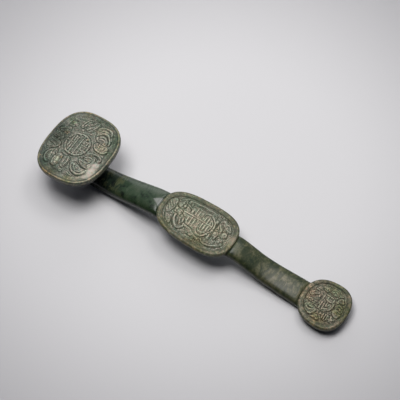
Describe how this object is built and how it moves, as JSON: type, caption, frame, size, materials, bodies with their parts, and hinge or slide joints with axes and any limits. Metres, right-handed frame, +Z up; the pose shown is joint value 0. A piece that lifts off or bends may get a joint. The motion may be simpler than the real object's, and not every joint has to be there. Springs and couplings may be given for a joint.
{
  "type": "jade ruyi scepter",
  "caption": "Bent jade scepter with a broad raised head, a middle plaque and a small tail plaque, each carved and let into the shaft.",
  "frame": {"origin": "centre of the overall box, on the surface that the scepter rests on", "axes": "+X from the head to the tail, +Y across the scepter, +Z up from the surface it rests on"},
  "size_m": [0.4045, 0.0972, 0.0567],
  "materials": {
    "dark_jade": "polished dark spinach-green jade, mottled",
    "pale_jade": "matte grey-green carved jade with worn brown edges",
    "putty": "dark resin putty",
    "copper": "drawn copper rod"
  },
  "bodies": {
    "root": {"shaft": "dark_jade", "head_plaque": "pale_jade", "middle_plaque": "pale_jade", "tail_plaque": "pale_jade", "head_bed": "putty", "middle_bed": "putty", "tail_bed": "putty", "head_peg_1": "copper", "head_peg_2": "copper", "head_peg_3": "copper", "head_peg_4": "copper", "middle_peg_1": "copper", "middle_peg_2": "copper", "tail_peg_1": "copper", "tail_peg_2": "copper"}
  },
  "joints": []
}
